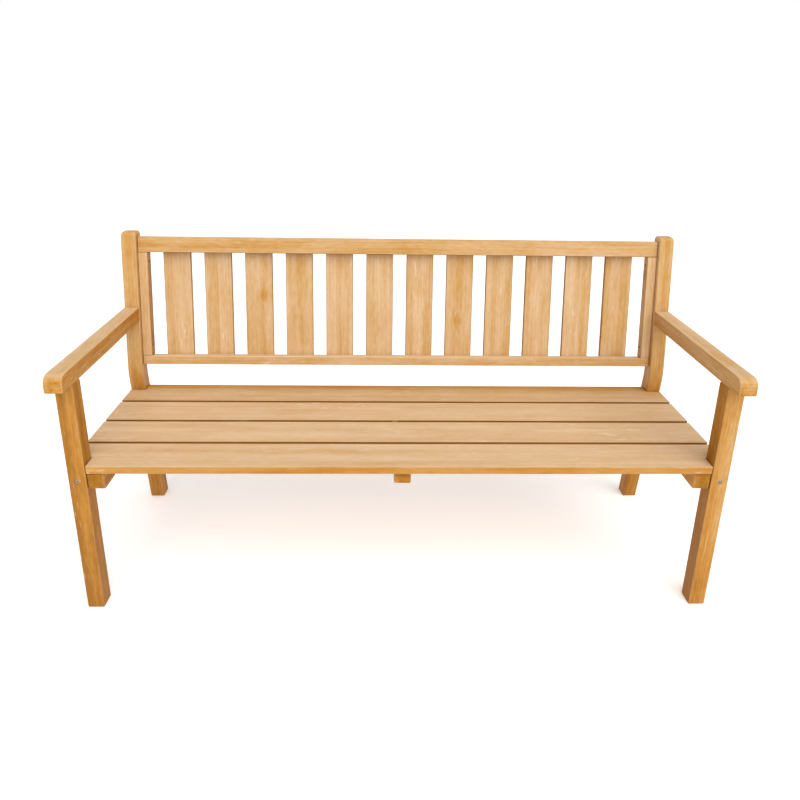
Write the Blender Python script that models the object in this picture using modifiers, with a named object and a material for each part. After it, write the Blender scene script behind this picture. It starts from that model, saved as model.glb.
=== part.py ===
"""Three-seat garden bench in square-sawn timber, made stick by stick.

Frame: +X runs along the seat, -Y is the side a sitter faces, +Z is up.
The origin is on the floor, in the middle of the bench's outer box.
The side frames (front leg, arm, bent back post, side rail) carry a boarded
seat on three bearers and a slatted back panel screwed in between the posts.
The slats lie on the back faces of the panel's two rails.
All lengths are in metres.
"""
import math

import bmesh
import bpy
from mathutils import Matrix, Vector

# ---------------------------------------------------------------- sizes
WIDTH = 1.600            # over the outer faces of the two side frames
STICK = 0.042            # side of the square stock used for legs, posts, arms
GAP = 0.0003             # play left wherever two pieces touch
EASE = 0.0025            # chamfer along the arrises of the square stock

SEAT_TOP = 0.412         # height of the sitting surface
BOARD_THICK = 0.020
BOARD_WIDE = 0.108
BOARD_SPACE = 0.008      # slot between neighbouring seat boards
BOARD_COUNT = 4
NOTCH_PLAY = 0.0012      # room round a leg or post in a notched board
BEARER_HIGH = 0.045
BEARER_FRONT = 0.003     # set-back of the end bearers from the front
CENTRE_BEARER_FRONT = 0.026
BEARER_BACK = 0.450

LEAN = math.radians(8.3)  # both halves of a back post lean by this much
BEND_Y = 0.414           # where the post's two front faces would meet
BEND_Z = 0.468
BEND_RADIUS = 0.220      # of the post's centre line
POST_TOP = 0.878
POST_TOP_ROUND = 0.008

ARM_UNDER = 0.622        # underside of the arms, top of the front legs
ARM_FRONT = -0.044       # overhang of the arms past the front legs
ARM_NOSE = 0.022         # radius of the rounded front top edge

FRAME_SETBACK = 0.012    # back panel behind the front faces of the posts
FRAME_DEEP = 0.026
SLAT_THICK = 0.012
SLAT_WIDE = 0.080
SLAT_COUNT = 12
SLAT_PITCH = 0.1189      # from the middle of one slat to the next
SLAT_FOOT_UP = 0.030     # slat ends, along the lean from the bend
SLAT_HEAD_UP = 0.390
TOP_RAIL_HIGH = 0.045
BOTTOM_RAIL_HIGH = 0.026
TOP_RAIL_UP = 0.357      # underside of the top rail, along the lean from the bend
BOTTOM_RAIL_UP = 0.0245  # underside of the bottom rail, along the lean
BATTEN_WIDE = 0.028

# ---------------------------------------------------------------- worked out
HALF = WIDTH / 2
INNER = HALF - STICK                     # inner faces of legs and posts
STICK_MID = HALF - STICK / 2             # middle of a leg, post or arm
BOARD_UNDER = SEAT_TOP - BOARD_THICK
BEARER_UNDER = BOARD_UNDER - BEARER_HIGH
BEARER_MID = BOARD_UNDER - BEARER_HIGH / 2
SEAT_DEEP = BOARD_COUNT * BOARD_WIDE + (BOARD_COUNT - 1) * BOARD_SPACE
TAN_LEAN = math.tan(LEAN)
COS_LEAN = math.cos(LEAN)
FOOT_Y = BEND_Y + BEND_Z * TAN_LEAN      # front of a post at the floor
FOOT_DEEP = STICK / COS_LEAN             # a post measured level
MIDDLE_Y = (ARM_FRONT + FOOT_Y + FOOT_DEEP) / 2
SIDES = (("left", -1), ("right", 1))

WOOD = (0.56, 0.30, 0.115, 1.0)
WOOD_PALE = (0.66, 0.40, 0.20, 1.0)
STEEL = (0.46, 0.45, 0.43, 1.0)

ROUND_STEPS = 10         # sides of the turned fasteners
ARC_STEPS = 6            # straights in a rounded outline


# ---------------------------------------------------------------- set-up
def clear_scene():
    for old in list(bpy.data.objects):
        bpy.data.objects.remove(old, do_unlink=True)


def make_collection(name):
    made = bpy.data.collections.new(name)
    bpy.context.scene.collection.children.link(made)
    return made


def make_material(name, colour, roughness, metallic):
    made = bpy.data.materials.new(name)
    made.use_nodes = True
    shader = made.node_tree.nodes["Principled BSDF"]
    shader.inputs["Base Color"].default_value = colour
    shader.inputs["Roughness"].default_value = roughness
    shader.inputs["Metallic"].default_value = metallic
    made.diffuse_color = colour
    return made


def shift(point):
    """Move a point so that the origin sits in the middle of the outer box."""
    return Vector((point[0], point[1] - MIDDLE_Y, point[2]))


def lean_point(x, deep, up):
    """A point in the leaning back: deep behind the posts' front, up along them."""
    y = BEND_Y + up * math.sin(LEAN) + deep * math.cos(LEAN)
    z = BEND_Z + up * math.cos(LEAN) - deep * math.sin(LEAN)
    return (x, y, z)


def add_object(name, mesh, material, collection, place=(0, 0, 0), turn=None):
    made = bpy.data.objects.new(name, mesh)
    made.location = shift(place)
    if turn is not None:
        made.rotation_euler = turn
    if material is not None:
        mesh.materials.append(material)
    collection.objects.link(made)
    return made


# ---------------------------------------------------------------- solids
def ease_edges(piece, width, segments=1):
    """Take the sharp arrises off a piece of timber."""
    cut = piece.modifiers.new("eased", "BEVEL")
    cut.width = width
    cut.segments = segments
    cut.limit_method = "ANGLE"
    cut.angle_limit = math.radians(40)
    return cut


def box_piece(name, size, middle, material, collection, turn=None, ease=EASE):
    """A sawn stick or board: a cube stretched to its size about its middle."""
    mesh = bpy.data.meshes.new(name)
    work = bmesh.new()
    bmesh.ops.create_cube(work, size=1.0)
    bmesh.ops.scale(work, vec=Vector(size), verts=work.verts)
    work.to_mesh(mesh)
    work.free()
    piece = add_object(name, mesh, material, collection, middle, turn)
    ease_edges(piece, ease)
    return piece


def outline_mesh(name, points, thick):
    """A closed flat outline drawn out to a thickness, half to each side."""
    mesh = bpy.data.meshes.new(name)
    work = bmesh.new()
    corners = [work.verts.new((u, v, -thick / 2)) for u, v in points]
    drawn = bmesh.ops.contextual_create(work, geom=corners)
    grown = bmesh.ops.extrude_face_region(work, geom=drawn["faces"], use_keep_orig=True)
    moved = [item for item in grown["geom"] if isinstance(item, bmesh.types.BMVert)]
    bmesh.ops.translate(work, verts=moved, vec=(0.0, 0.0, thick))
    bmesh.ops.recalc_face_normals(work, faces=work.faces)
    work.to_mesh(mesh)
    work.free()
    return mesh


SIDEWAYS = (math.pi / 2, 0.0, math.pi / 2)   # outline (u, v) becomes (Y, Z)
SIDEWAYS_LEANING = Matrix.Rotation(-LEAN, 3, "X") @ Matrix(
    ((0, 0, 1), (1, 0, 0), (0, 1, 0)))


def arc_points(centre, radius, start, stop):
    """Points along an arc, angles in degrees from +u towards +v."""
    made = []
    for step in range(ARC_STEPS + 1):
        angle = math.radians(start + (stop - start) * step / ARC_STEPS)
        made.append((centre[0] + radius * math.cos(angle),
                     centre[1] + radius * math.sin(angle)))
    return made


def turned_mesh(name, profile):
    """An open profile of (radius, height) at +X, top to bottom."""
    mesh = bpy.data.meshes.new(name)
    rows = [(radius, 0.0, height) for radius, height in profile]
    mesh.from_pydata(rows, [(i, i + 1) for i in range(len(rows) - 1)], [])
    return mesh


def turn_profile(piece):
    spin = piece.modifiers.new("turned", "SCREW")
    spin.steps = ROUND_STEPS
    spin.render_steps = ROUND_STEPS
    spin.use_merge_vertices = True
    spin.merge_threshold = 0.00001
    spin.use_smooth_shade = True


# ---------------------------------------------------------------- timber
def front_leg(side, sign, wood, parts):
    size = (STICK, STICK, ARM_UNDER - GAP)
    middle = (sign * STICK_MID, STICK / 2, size[2] / 2)
    return box_piece(f"front_leg_{side}", size, middle, wood, parts)


def bend_arc(offset):
    """The bend of a post's edge, offset forwards from its centre line."""
    radius = BEND_RADIUS + offset
    mid_y = BEND_Y + (STICK / 2) / COS_LEAN
    centre = (mid_y + BEND_RADIUS / COS_LEAN, BEND_Z)
    lean = math.degrees(LEAN)
    return arc_points(centre, radius, 180 + lean, 180 - lean)


def back_post(side, sign, wood, parts):
    """Front edge from the floor up, then back edge from the top down."""
    top_y = BEND_Y + (POST_TOP - BEND_Z) * TAN_LEAN
    front = [(FOOT_Y, 0.0)] + bend_arc(STICK / 2) + [(top_y, POST_TOP)]
    back = [(FOOT_Y + FOOT_DEEP, 0.0)] + bend_arc(-STICK / 2) + [(top_y + FOOT_DEEP, POST_TOP)]
    mesh = outline_mesh(f"back_post_{side}", front + back[::-1], STICK)
    post = add_object(f"back_post_{side}", mesh, wood, parts, (sign * STICK_MID, 0, 0), SIDEWAYS)
    weight_top_edges(mesh)
    crown = post.modifiers.new("rounded_top", "BEVEL")
    crown.width = POST_TOP_ROUND
    crown.segments = 2
    crown.limit_method = "WEIGHT"
    return post


def weight_top_edges(mesh):
    """Mark the four edges round a post's top end for rounding."""
    marks = mesh.attributes.new("bevel_weight_edge", "FLOAT", "EDGE")
    for edge in mesh.edges:
        heights = [mesh.vertices[i].co.y for i in edge.vertices]
        marks.data[edge.index].value = 1.0 if min(heights) > POST_TOP - 0.001 else 0.0


def armrest(side, sign, wood, parts):
    """Level beam: rounded nose at the front, cut to the post's lean behind."""
    top = ARM_UNDER + STICK
    end_low = BEND_Y + (ARM_UNDER - BEND_Z) * TAN_LEAN - GAP
    end_high = BEND_Y + (top - BEND_Z) * TAN_LEAN - GAP
    nose = arc_points((ARM_FRONT + ARM_NOSE, top - ARM_NOSE), ARM_NOSE, 180, 90)
    points = [(ARM_FRONT, ARM_UNDER), (end_low, ARM_UNDER), (end_high, top)] + nose[::-1]
    mesh = outline_mesh(f"armrest_{side}", points, STICK)
    arm = add_object(f"armrest_{side}", mesh, wood, parts, (sign * STICK_MID, 0, 0), SIDEWAYS)
    ease_edges(arm, EASE)
    return arm


def post_front(z):
    """Front face of the lower half of a post at a height."""
    return FOOT_Y - z * TAN_LEAN


def side_rail(side, sign, wood, parts):
    top = BOARD_UNDER - GAP
    points = [(STICK + GAP, BEARER_UNDER), (post_front(BEARER_UNDER) - GAP, BEARER_UNDER),
              (post_front(top) - GAP, top), (STICK + GAP, top)]
    mesh = outline_mesh(f"side_rail_{side}", points, STICK)
    rail = add_object(f"side_rail_{side}", mesh, wood, parts, (sign * STICK_MID, 0, 0), SIDEWAYS)
    ease_edges(rail, EASE / 2)
    return rail


def seat_bearer(name, middle_x, front_y, wood, parts):
    size = (STICK, BEARER_BACK - front_y, BEARER_HIGH - GAP)
    middle = (middle_x, (BEARER_BACK + front_y) / 2, BEARER_UNDER + size[2] / 2)
    return box_piece(name, size, middle, wood, parts, ease=2 * EASE)


def board_outline(front, back, is_first, is_last):
    """Plan of a seat board, with notches round the legs or the posts."""
    notch_x = INNER - NOTCH_PLAY
    right = [(HALF, front), (HALF, back)]
    if is_first:
        leg_back = STICK + NOTCH_PLAY
        right = [(notch_x, front), (notch_x, leg_back), (HALF, leg_back), (HALF, back)]
    if is_last:
        post_y = post_front(SEAT_TOP) - NOTCH_PLAY
        right = [(HALF, front), (HALF, post_y), (notch_x, post_y), (notch_x, back)]
    left = [(-x, y) for x, y in reversed(right)]
    return right + left


def seat_board(number, wood, parts):
    front = (number - 1) * (BOARD_WIDE + BOARD_SPACE)
    middle_y = front + BOARD_WIDE / 2
    points = board_outline(front, front + BOARD_WIDE, number == 1, number == BOARD_COUNT)
    centred = [(x, y - middle_y) for x, y in points]
    mesh = outline_mesh(f"seat_board_{number}", centred, BOARD_THICK)
    place = (0, middle_y, SEAT_TOP - BOARD_THICK / 2)
    board = add_object(f"seat_board_{number}", mesh, wood, parts, place)
    ease_edges(board, EASE)
    return board


def leaning_piece(name, points, thick, middle_x, wood, parts, ease=EASE / 2):
    """An outline of (deep, up) carried along X, in the leaning back."""
    mesh = outline_mesh(name, points, thick)
    piece = add_object(name, mesh, wood, parts, lean_point(middle_x, 0, 0))
    piece.rotation_euler = SIDEWAYS_LEANING.to_euler()
    ease_edges(piece, ease)
    return piece


def panel_rails(wood, parts):
    """Top and bottom rail, held between the two posts."""
    front = FRAME_SETBACK
    back = FRAME_SETBACK + FRAME_DEEP
    long = 2 * (INNER - GAP)
    made = []
    for name, low, high in (("top", TOP_RAIL_UP, TOP_RAIL_HIGH),
                            ("bottom", BOTTOM_RAIL_UP, BOTTOM_RAIL_HIGH)):
        points = [(front, low), (back, low), (back, low + high), (front, low + high)]
        made.append(leaning_piece(f"back_{name}_rail", points, long, 0, wood, parts))
    return made


def panel_batten(side, sign, wood, parts):
    low = BOTTOM_RAIL_UP + BOTTOM_RAIL_HIGH + GAP
    high = TOP_RAIL_UP - GAP
    back = FRAME_SETBACK + FRAME_DEEP
    points = [(FRAME_SETBACK, low), (back, low), (back, high), (FRAME_SETBACK, high)]
    wide = BATTEN_WIDE - GAP
    middle_x = sign * (INNER - GAP - wide / 2)
    return leaning_piece(f"back_batten_{side}", points, wide, middle_x, wood, parts)


def slat_middles():
    return [(i - (SLAT_COUNT - 1) / 2) * SLAT_PITCH for i in range(SLAT_COUNT)]


def back_slat(number, middle_x, wood, parts):
    """A slat fixed to the back faces of both rails."""
    front = FRAME_SETBACK + FRAME_DEEP + GAP
    back = front + SLAT_THICK
    low = SLAT_FOOT_UP
    high = SLAT_HEAD_UP
    points = [(front, low), (back, low), (back, high), (front, high)]
    return leaning_piece(f"back_slat_{number:02d}", points, SLAT_WIDE, middle_x, wood, parts)


# ---------------------------------------------------------------- fasteners
def screw_profile(head, shank, long, play, outwards):
    """Countersunk screw, head at the top; play swells it into its own hole."""
    sink = head - shank
    rows = [(0.0, outwards), (head + play, outwards), (head + play, -0.0012 - play),
            (shank + play, -0.0012 - sink - play), (shank + play, -(long - shank) - play),
            (0.0, -long - 2 * play)]
    return rows


def dowel_profile(radius, long, play):
    nose = 0.0015
    return [(0.0, play), (radius - nose + play, play), (radius + play, -nose + play),
            (radius + play, -(long - nose) - play), (radius - nose + play, -long - play),
            (0.0, -long - play)]


def fit_turned(name, solid, hole, start, aim, targets, material, parts, cutters):
    """Put a turned piece in place, pointing along aim, and bore for it."""
    turn = Vector(aim).to_track_quat("-Z", "Y").to_euler()
    piece = add_object(name, turned_mesh(name, solid), material, parts, start, turn)
    turn_profile(piece)
    cutter = add_object(name + "_bore", turned_mesh(name + "_bore", hole), None, cutters,
                        start, turn)
    turn_profile(cutter)
    cutter.hide_render = True
    cutter.display_type = "WIRE"
    for target in targets:
        bore = target.modifiers.new("bore_" + name, "BOOLEAN")
        bore.operation = "DIFFERENCE"
        bore.solver = "EXACT"
        bore.object = cutter
    return piece


def add_screw(name, start, aim, targets, size, recess, steel, parts, cutters):
    """A screw whose head lies a little below the face at start."""
    head, shank, long = size
    aim = Vector(aim).normalized()
    head_at = Vector(start) + aim * recess
    solid = screw_profile(head, shank, long, 0.0, 0.0)
    hole = screw_profile(head, shank, long, GAP, recess + 0.004)
    return fit_turned(name, solid, hole, head_at, aim, targets, steel, parts, cutters)


FRAME_SCREW = (0.0055, 0.0035, 0.092)    # head radius, shank radius, length
ARM_SCREW = (0.0050, 0.0030, 0.080)
BEARER_SCREW = (0.0060, 0.0035, 0.068)
SEAT_SCREW = (0.0040, 0.0022, 0.054)
BATTEN_SCREW = (0.0040, 0.0022, 0.050)
DOWEL_RADIUS = 0.005
DOWEL_LONG = 0.044


def side_frame_fixings(side, sign, timber, steel, wood, parts, cutters):
    leg = timber[f"front_leg_{side}"]
    post = timber[f"back_post_{side}"]
    arm = timber[f"armrest_{side}"]
    rail = timber[f"side_rail_{side}"]
    bearer = timber[f"seat_bearer_{side}"]
    x = sign * STICK_MID
    kit = (steel, parts, cutters)
    add_screw(f"leg_screw_{side}", (x, 0.0, BEARER_MID), (0, 1, 0), [leg, rail],
              FRAME_SCREW, 0.0012, *kit)
    post_back = post_front(BEARER_MID) + FOOT_DEEP
    add_screw(f"post_screw_{side}", (x, post_back, BEARER_MID), (0, -1, 0), [post, rail],
              FRAME_SCREW, 0.0030, *kit)
    arm_up = (ARM_UNDER + STICK / 2 - BEND_Z) / COS_LEAN
    add_screw(f"arm_screw_{side}", lean_point(x, STICK, arm_up),
              (0, -math.cos(LEAN), math.sin(LEAN)), [post, arm], ARM_SCREW, 0.0012, *kit)
    for place, y in (("front", 0.112), ("rear", 0.344)):
        add_screw(f"bearer_screw_{side}_{place}", (sign * (INNER - STICK), y, BEARER_MID),
                  (sign, 0, 0), [bearer, rail], BEARER_SCREW, 0.0012, *kit)
    fit_turned(f"arm_dowel_{side}", dowel_profile(DOWEL_RADIUS, DOWEL_LONG, 0.0),
               dowel_profile(DOWEL_RADIUS, DOWEL_LONG, GAP),
               (x, STICK / 2, ARM_UNDER + DOWEL_LONG / 2), (0, 0, -1), [leg, arm],
               wood, parts, cutters)


def seat_fixings(timber, steel, parts, cutters):
    """One hidden screw up through each bearer into each board."""
    bearer_x = {"left": -(INNER - STICK / 2), "centre": 0.0, "right": INNER - STICK / 2}
    for number in range(1, BOARD_COUNT + 1):
        y = (number - 1) * (BOARD_WIDE + BOARD_SPACE) + BOARD_WIDE / 2
        for place, x in bearer_x.items():
            targets = [timber[f"seat_bearer_{place}"], timber[f"seat_board_{number}"]]
            add_screw(f"seat_screw_{place}_{number}", (x, y, BEARER_UNDER), (0, 0, 1), targets,
                      SEAT_SCREW, 0.0012, steel, parts, cutters)


def panel_fixings(side, sign, timber, steel, parts, cutters):
    """Two screws through each batten hold the back panel to its post."""
    targets = [timber[f"back_batten_{side}"], timber[f"back_post_{side}"]]
    middle = FRAME_SETBACK + FRAME_DEEP / 2
    heights = (("upper", TOP_RAIL_UP - 0.026),
               ("lower", BOTTOM_RAIL_UP + BOTTOM_RAIL_HIGH + 0.031))
    for place, up in heights:
        start = lean_point(sign * (INNER - BATTEN_WIDE), middle, up)
        add_screw(f"panel_screw_{side}_{place}", start, (sign, 0, 0), targets,
                  BATTEN_SCREW, 0.004, steel, parts, cutters)


# ---------------------------------------------------------------- build
def build():
    clear_scene()
    parts = make_collection("garden_bench")
    cutters = make_collection("cutters")
    wood = make_material("stained_wood", WOOD, 0.55, 0.0)
    pale = make_material("stained_wood_pale", WOOD_PALE, 0.55, 0.0)
    dowel_wood = make_material("dowel_wood", WOOD_PALE, 0.6, 0.0)
    steel = make_material("zinc_steel", STEEL, 0.35, 1.0)

    pieces = []
    for side, sign in SIDES:
        for make in (front_leg, back_post, armrest, side_rail):
            pieces.append(make(side, sign, wood, parts))
        pieces.append(seat_bearer(f"seat_bearer_{side}", sign * (INNER - GAP - STICK / 2),
                                  BEARER_FRONT, wood, parts))
        pieces.append(panel_batten(side, sign, pale, parts))
    pieces.append(seat_bearer("seat_bearer_centre", 0.0, CENTRE_BEARER_FRONT, wood, parts))
    for number in range(1, BOARD_COUNT + 1):
        pieces.append(seat_board(number, pale, parts))
    pieces += panel_rails(pale, parts)
    for number, middle_x in enumerate(slat_middles(), start=1):
        pieces.append(back_slat(number, middle_x, pale, parts))

    timber = {piece.name: piece for piece in pieces}
    for side, sign in SIDES:
        side_frame_fixings(side, sign, timber, steel, dowel_wood, parts, cutters)
        panel_fixings(side, sign, timber, steel, parts, cutters)
    seat_fixings(timber, steel, parts, cutters)


build()
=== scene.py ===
"""Garden bench in honey-stained softwood: its finished pieces, floor, lights and camera.

Every timber is a sawn outline given a thickness, with arrises that were
rounded by hand and so wander a little in width. Each carries its own fibre
coordinates, so the figure runs along the stick and shows rings at its ends.
All lengths are in metres: +X along the seat, -Y to the front, +Z up.
"""

import math
from collections import namedtuple

import bpy
import numpy as np
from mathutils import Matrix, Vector
from mathutils.geometry import delaunay_2d_cdt


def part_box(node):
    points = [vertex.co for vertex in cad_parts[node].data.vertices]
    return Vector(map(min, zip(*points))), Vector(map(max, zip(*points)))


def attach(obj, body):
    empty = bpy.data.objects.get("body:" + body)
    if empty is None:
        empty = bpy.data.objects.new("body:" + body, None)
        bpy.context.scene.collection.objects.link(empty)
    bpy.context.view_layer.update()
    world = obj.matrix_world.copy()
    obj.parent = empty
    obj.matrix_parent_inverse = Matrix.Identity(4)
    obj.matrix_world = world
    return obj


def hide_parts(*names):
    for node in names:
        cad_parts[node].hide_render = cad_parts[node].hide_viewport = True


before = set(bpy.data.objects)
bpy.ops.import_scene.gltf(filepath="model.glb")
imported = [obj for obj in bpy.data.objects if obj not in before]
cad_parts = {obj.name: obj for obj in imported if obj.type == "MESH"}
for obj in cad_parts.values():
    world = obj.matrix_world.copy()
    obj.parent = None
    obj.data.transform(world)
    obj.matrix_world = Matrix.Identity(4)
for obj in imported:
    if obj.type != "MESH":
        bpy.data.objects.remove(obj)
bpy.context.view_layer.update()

# ---------------------------------------------------------------- sizes
LEG_LOW, LEG_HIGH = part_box("front_leg_right")
STICK = LEG_HIGH.x - LEG_LOW.x                 # side of the square stock
HALF = LEG_HIGH.x                              # half the bench's width
INNER = LEG_LOW.x                              # inner faces of legs and posts
STICK_MID = HALF - STICK / 2
LEG_FRONT = LEG_LOW.y
LEAN = math.radians(8.3)                       # of both halves of a back post
BEND_Y = LEG_FRONT + 0.414
BEND_Z = 0.468
BEND_RADIUS = 0.220
POST_TOP_RADIUS = 0.010
ARM_NOSE = 0.022                               # radius of an arm's front top corner
FRAME_SETBACK = 0.012                          # of the panel, behind the posts' fronts
FRAME_DEEP = 0.026                             # rails and battens, front to back
SLAT_COUNT = 12
SLAT_THICK = 0.012
SLAT_WIDE = 0.080
SLAT_PITCH = 0.1189
BATTEN_WIDE = 0.0277
SLAT_SCREW_UP = 0.014                          # above a rail's lower edge
GAP = 0.0003                                   # between neighbouring pieces
NOTCH_PLAY = 0.0012                            # of a board round a leg or post

# Lower and upper ends in the panel, and its screws, up the lean from the posts' bend.
SLAT_SPAN = (0.030, 0.390)
TOP_RAIL = (0.357, 0.402)
BOTTOM_RAIL = (0.0245, 0.0505)
PANEL_SCREWS = (("upper", TOP_RAIL[0] - 0.026), ("lower", BOTTOM_RAIL[1] + 0.031))

X_AXIS = np.array((1.0, 0.0, 0.0))
Y_AXIS = np.array((0.0, 1.0, 0.0))
Z_AXIS = np.array((0.0, 0.0, 1.0))
LEAN_UP = np.array((0.0, math.sin(LEAN), math.cos(LEAN)))
LEAN_BACK = np.array((0.0, math.cos(LEAN), -math.sin(LEAN)))

ARC_STEPS = 6            # straights in a rounded corner of an outline
EASE_STEPS = 5           # straights across a rounded arris
RUN_STEP = 0.016         # spacing of points along a straight run
ARRIS_WANDER = 0.22      # share by which an arris's width comes and goes
HOLE_SIDES = 28
POCKET_TAPER = 0.94      # a drilled pocket's floor against its rim

# Screws are (head radius, shank radius, length), and pockets (radius, depth).
FRAME_SCREW, LEG_POCKET = (0.0055, 0.0035, 0.090), (0.0064, 0.0030)
ARM_SCREW = (0.0050, 0.0030, 0.078)
BEARER_SCREW, BEARER_POCKET = (0.0060, 0.0035, 0.066), (0.0070, 0.0026)
SEAT_SCREW = (0.0040, 0.0022, 0.052)
BATTEN_SCREW, BATTEN_POCKET = (0.0038, 0.0022, 0.044), (0.0043, 0.0060)
SLAT_SCREW = (0.0034, 0.0019, 0.026)
SCREW_SIDES = 32
HEAD_EDGE = 0.0006       # straight rim of a screw's head
PROUD = 0.0002           # how far a head stands out of a face without a pocket
HEAD_IN = {"leg": 0.0014, "bearer": 0.0016, "batten": 0.0046}   # and how deep in a pocket

# Stain depth, 0 pale to 1 dark, of faces that look sideways, forwards or back, up, down: the
# pieces' own stain, with painted shade that darkens faces turned from the light and undersides.
LEG_STAIN_AND_SHADE = {"left": (0.84, 0.82, 0.5, 0.8), "right": (0.88, 0.60, 0.5, 0.8)}
POST_STAIN_AND_SHADE = (0.44, 0.46, 0.30, 0.8)
ARM_STAIN_AND_SHADE = {"left": (0.66, 0.54, 0.24, 0.8), "right": (0.50, 0.54, 0.24, 0.8)}
SIDE_RAIL_STAIN_AND_SHADE = (0.80, 0.80, 0.8, 0.8)
SIDE_BEARER_STAIN_AND_SHADE = (0.85, 0.78, 0.8, 0.85)
CENTRE_BEARER_STAIN_AND_SHADE = (0.85, 0.76, 0.8, 0.85)
# The boards' front and back edges are painted dark, as the shade in the gaps between them.
BOARD_STAIN_AND_SHADE = {1: (0.62, 0.66, 0.18, 0.66), 2: (0.62, 1.0, 0.18, 0.66),
               3: (0.62, 1.0, 0.19, 0.66), 4: (0.62, 1.0, 0.30, 0.66)}
BATTEN_STAIN_AND_SHADE = {"left": (0.86, 0.34, 0.3, 0.7), "right": (0.70, 0.34, 0.3, 0.7)}
TOP_RAIL_STAIN_AND_SHADE = (0.6, 0.44, 0.30, 0.8)
BOTTOM_RAIL_STAIN_AND_SHADE = (0.6, 0.35, 0.10, 0.8)
SLAT_FACE_STAIN = (0.32, 0.38)                 # a slat's own depth lies between these
SLAT_KNOTS = {3: (0.020, 0.012, 0.023), 8: (-0.055, -0.006, 0.020)}
SEAM_SHADE_EDGE = -0.9                              # painted seam shade: a negative edge darkens an arris as shade, not pale wear
UNDER_SHADE_DEEPER = 0.41                          # painted shade, deepened where a face lies under or behind other parts
HALO_DEEPER = 0.16                             # round a knot
END_DEEPER = 0.12                              # on end grain
STREAK, LATE, BLOTCH, MOTTLE, HAIRS = 0.95, 0.09, 0.45, 0.42, 0.28   # parts of the figure
RINGS_A_METRE = 120.0

TABLE_GLOW = 0.26
SKY_LIGHT = 0.60
LAMP_LIGHT = 2.45
LAMP_WIDTH = math.radians(65)
LAMP_FROM = (0.35, -0.81, 1.00)

EYE = (-0.06292, LEG_FRONT - 1.361, 1.267)
EYE_TURN = math.radians(1.656)
EYE_DIP = math.radians(-17.67)
EYE_ROLL = math.radians(0.9594)
LENS = 29.1465
LENS_SHIFT = (0.00475, -0.125)

GRAIN = np.random.default_rng(418)


# ---------------------------------------------------------------- outlines
def unit(rows):
    """Each row divided by its own length."""
    return rows / np.linalg.norm(rows, axis=-1, keepdims=True)


def softened_outline(corners, corner_radius):
    """Outline with rounded corners, and its outward normals.

    Corner k becomes an arc: centre k + radius k * (cos a, sin a), with a
    running evenly between the two points where the circle touches the sides.
    Straight runs are shared out evenly between one arc's end and the next's start.
    """
    corner = np.asarray(corners, float)
    radius = np.broadcast_to(np.asarray(corner_radius, float), len(corner))[:, None]
    before = unit(np.roll(corner, 1, axis=0) - corner)
    after = unit(np.roll(corner, -1, axis=0) - corner)
    half = np.arccos(np.clip((before * after).sum(axis=1), -1, 1))[:, None] / 2
    bulge = np.sign(before[:, 1] * after[:, 0] - before[:, 0] * after[:, 1])[:, None]
    centre = corner + unit(before + after) * radius / np.sin(half)
    begin = corner + before * radius / np.tan(half) - centre
    start = np.arctan2(begin[:, 1], begin[:, 0])[:, None]
    angle = start + bulge * (np.pi - 2 * half) * np.linspace(0, 1, ARC_STEPS + 1)
    ray = np.stack((np.cos(angle), np.sin(angle)), axis=-1)
    arc = centre[:, None] + radius[:, None] * ray
    face = bulge[:, None] * ray
    points, normals = [], []
    for k in range(len(corner)):
        points.append(arc[k])
        normals.append(face[k])
        gap = arc[(k + 1) % len(corner), 0] - arc[k, -1]
        count = int(np.linalg.norm(gap) / RUN_STEP)
        share = np.arange(1, count)[:, None] / max(count, 1)
        points.append(arc[k, -1] + gap * share)
        normals.append(np.repeat(face[k, -1:], len(share), axis=0))
    return np.concatenate(points), np.concatenate(normals)


def wandering(length_along, amount, seed_phase):
    """1 + amount * (the mean of three slow sines of the distance run)."""
    waves = np.array((5.3, 13.7, 31.0))[:, None] * length_along
    return 1 + amount * np.sin(waves + seed_phase[:, None]).mean(axis=0)


# ---------------------------------------------------------------- meshes
def marked(mesh, marks):
    """Shade the mesh smooth and write its point attributes, from arrays by name."""
    mesh.polygons.foreach_set("use_smooth", np.ones(len(mesh.polygons), bool))
    for mark, rows in marks.items():
        kind, key = ("FLOAT_VECTOR", "vector") if rows.ndim == 2 else ("FLOAT", "value")
        field = mesh.attributes.new(mark, kind, "POINT")
        field.data.foreach_set(key, rows.astype(np.float32).ravel())
    mesh.update()


def linked(name, mesh, finish):
    """An object at the origin that shows the mesh in its finish."""
    mesh.materials.append(finish)
    made = bpy.data.objects.new(name, mesh)
    bpy.context.scene.collection.objects.link(made)
    return made


def finished_object(name, points, faces, normals, finish, marks, crisp=()):
    """A smooth mesh with its own normals and its fibre, tone and wear marks.

    Crisp faces, such as a drilled pocket's wall, keep their plain face normals.
    """
    mesh = bpy.data.meshes.new(name)
    mesh.from_pydata(points.tolist(), [], faces)
    marked(mesh, marks)
    corner_of = np.empty(len(mesh.loops), int)
    mesh.loops.foreach_get("vertex_index", corner_of)
    corner_normals = normals[corner_of]
    if len(crisp):
        plain = np.empty(len(mesh.polygons) * 3)
        mesh.polygons.foreach_get("normal", plain)
        sizes = np.empty(len(mesh.polygons), int)
        mesh.polygons.foreach_get("loop_total", sizes)
        owner = np.repeat(np.arange(len(sizes)), sizes)
        mine = np.isin(owner, crisp)
        corner_normals[mine] = plain.reshape(-1, 3)[owner[mine]]
    mesh.normals_split_custom_set(corner_normals.tolist())
    return linked(name, mesh, finish)


# A drilled pocket's centre on its face, its size, and the face: 1 front or -1 back.
Pocket = namedtuple("Pocket", "u v radius depth side")
FAR_OFF = (9.0, 9.0, 9.0)                      # a knot that's outside every piece


def circle_points(sides):
    """(cos a, sin a) for a running evenly once round."""
    turn = np.arange(sides) * 2 * np.pi / sides
    return np.stack((np.cos(turn), np.sin(turn)), axis=1)


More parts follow.
